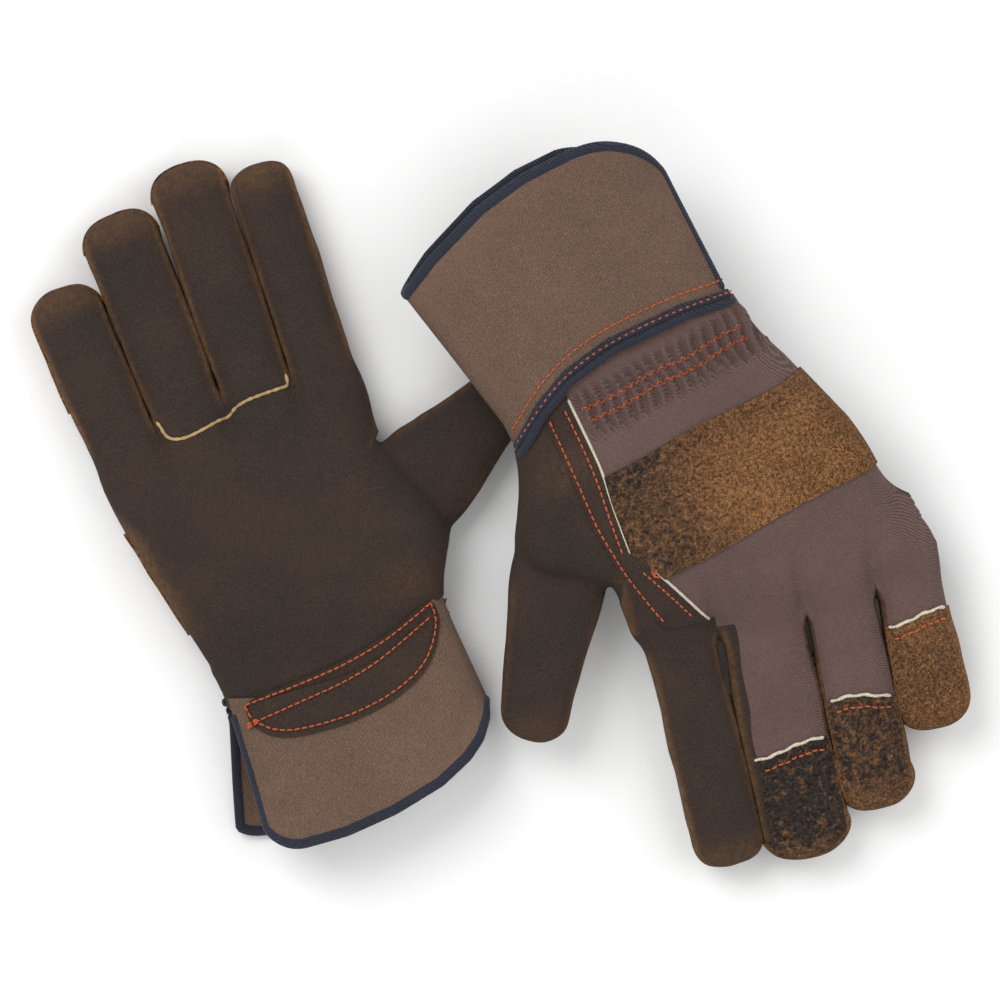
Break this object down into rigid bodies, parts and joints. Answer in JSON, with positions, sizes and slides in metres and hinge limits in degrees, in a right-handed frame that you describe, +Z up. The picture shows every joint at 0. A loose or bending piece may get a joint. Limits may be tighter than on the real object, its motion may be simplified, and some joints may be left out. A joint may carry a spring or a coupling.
{
  "type": "work gloves",
  "caption": "Pair of leather and canvas work gloves with stiff flared cuffs, lying flat, palm up and back up, whose fingers bend at the knuckles and hold a hand.",
  "frame": {"origin": "on the table, under the middle of the pair's bounding box", "axes": "+Y along the palm-up right glove from its cuff to its fingertips, +X towards its thumb, +Z up from the table"},
  "size_m": [0.2956, 0.3337, 0.0697],
  "materials": {
    "brown_split_leather": "dark brown napped split leather",
    "tan_split_leather": "mid brown napped split leather",
    "back_canvas": "purple-brown cotton twill",
    "cuff_canvas": "tan rubberised canvas",
    "navy_binding": "navy woven tape",
    "orange_thread": "orange sewing thread",
    "welt_trim": "raw pale leather edge",
    "lining_cloth": "cream brushed cotton",
    "elastic_tape": "white woven elastic"
  },
  "bodies": {
    "left_hand": {"left_back": "back_canvas", "left_cuff_back": "cuff_canvas", "left_cuff_binding": "navy_binding", "left_cuff_front": "cuff_canvas", "left_finger_seam_welt": "welt_trim", "left_knuckle_strap": "tan_split_leather", "left_palm": "brown_split_leather", "left_palm_lining": "lining_cloth", "left_stitching": "orange_thread", "left_thumb_side_panel": "brown_split_leather", "left_wrist_elastic": "elastic_tape", "left_wrist_patch": "brown_split_leather", "left_wrist_piping": "navy_binding"},
    "left_index": {"left_index_back": "brown_split_leather", "left_index_front": "brown_split_leather", "left_index_side_strip": "brown_split_leather"},
    "left_little": {"left_little_back": "back_canvas", "left_little_front": "brown_split_leather", "left_little_side_strip": "brown_split_leather", "left_little_tip_cap": "tan_split_leather"},
    "left_middle": {"left_middle_back": "back_canvas", "left_middle_front": "brown_split_leather", "left_middle_side_strip": "brown_split_leather", "left_middle_tip_cap": "tan_split_leather"},
    "left_ring": {"left_ring_back": "back_canvas", "left_ring_front": "brown_split_leather", "left_ring_side_strip": "brown_split_leather", "left_ring_tip_cap": "tan_split_leather"},
    "left_thumb": {"left_thumb_back": "brown_split_leather", "left_thumb_front": "brown_split_leather"},
    "right_hand": {"right_back": "back_canvas", "right_cuff_back": "cuff_canvas", "right_cuff_binding": "navy_binding", "right_cuff_front": "cuff_canvas", "right_finger_seam_welt": "welt_trim", "right_knuckle_strap": "tan_split_leather", "right_palm": "brown_split_leather", "right_palm_lining": "lining_cloth", "right_stitching": "orange_thread", "right_thumb_side_panel": "brown_split_leather", "right_wrist_elastic": "elastic_tape", "right_wrist_patch": "brown_split_leather", "right_wrist_piping": "navy_binding"},
    "right_index": {"right_index_back": "brown_split_leather", "right_index_front": "brown_split_leather", "right_index_side_strip": "brown_split_leather"},
    "right_little": {"right_little_back": "back_canvas", "right_little_front": "brown_split_leather", "right_little_side_strip": "brown_split_leather", "right_little_tip_cap": "tan_split_leather"},
    "right_middle": {"right_middle_back": "back_canvas", "right_middle_front": "brown_split_leather", "right_middle_side_strip": "brown_split_leather", "right_middle_tip_cap": "tan_split_leather"},
    "right_ring": {"right_ring_back": "back_canvas", "right_ring_front": "brown_split_leather", "right_ring_side_strip": "brown_split_leather", "right_ring_tip_cap": "tan_split_leather"},
    "right_thumb": {"right_thumb_back": "brown_split_leather", "right_thumb_front": "brown_split_leather"}
  },
  "joints": [
    {"name": "left_glove_lift", "type": "slide", "parent": "right_hand", "child": "left_hand", "axis": [0, 0, 1], "range_m": [0, 0.15]},
    {"name": "right_index_bend", "type": "hinge", "parent": "right_hand", "child": "right_index", "pos_m": [-0.04927, 0.0703, 0.0222], "axis": [0.9996, -0.0297, 0], "range_deg": [0, 80]},
    {"name": "right_middle_bend", "type": "hinge", "parent": "right_hand", "child": "right_middle", "pos_m": [-0.07567, 0.0718, 0.0222], "axis": [0.9998, -0.0209, 0], "range_deg": [0, 80]},
    {"name": "right_ring_bend", "type": "hinge", "parent": "right_hand", "child": "right_ring", "pos_m": [-0.10337, 0.0713, 0.0222], "axis": [0.9998, 0.0209, 0], "range_deg": [0, 80]},
    {"name": "right_little_bend", "type": "hinge", "parent": "right_hand", "child": "right_little", "pos_m": [-0.13087, 0.0703, 0.0222], "axis": [0.9982, 0.0593, 0], "range_deg": [0, 80]},
    {"name": "right_thumb_swing", "type": "hinge", "parent": "right_hand", "child": "right_thumb", "pos_m": [-0.03845, 0.04004, 0.0107], "axis": [0, 0, 1], "range_deg": [0, 28]},
    {"name": "left_index_bend", "type": "hinge", "parent": "left_hand", "child": "left_index", "pos_m": [0.04402, -0.06519, 0.01342], "axis": [0.9947, -0.0995, -0.027], "range_deg": [0, 80]},
    {"name": "left_middle_bend", "type": "hinge", "parent": "left_hand", "child": "left_middle", "pos_m": [0.07909, -0.06758, 0.01259], "axis": [0.9903, -0.1357, -0.031], "range_deg": [0, 80]},
    {"name": "left_ring_bend", "type": "hinge", "parent": "left_hand", "child": "left_ring", "pos_m": [0.10762, -0.0701, 0.01186], "axis": [0.989, -0.1443, -0.032], "range_deg": [0, 80]},
    {"name": "left_little_bend", "type": "hinge", "parent": "left_hand", "child": "left_little", "pos_m": [0.13526, -0.07203, 0.0112], "axis": [0.988, -0.1511, -0.0327], "range_deg": [0, 80]},
    {"name": "left_thumb_bend", "type": "hinge", "parent": "left_hand", "child": "left_thumb", "pos_m": [0.00875, -0.03051, 0.01789], "axis": [0.8655, -0.4961, -0.0697], "range_deg": [0, 45]}
  ]
}
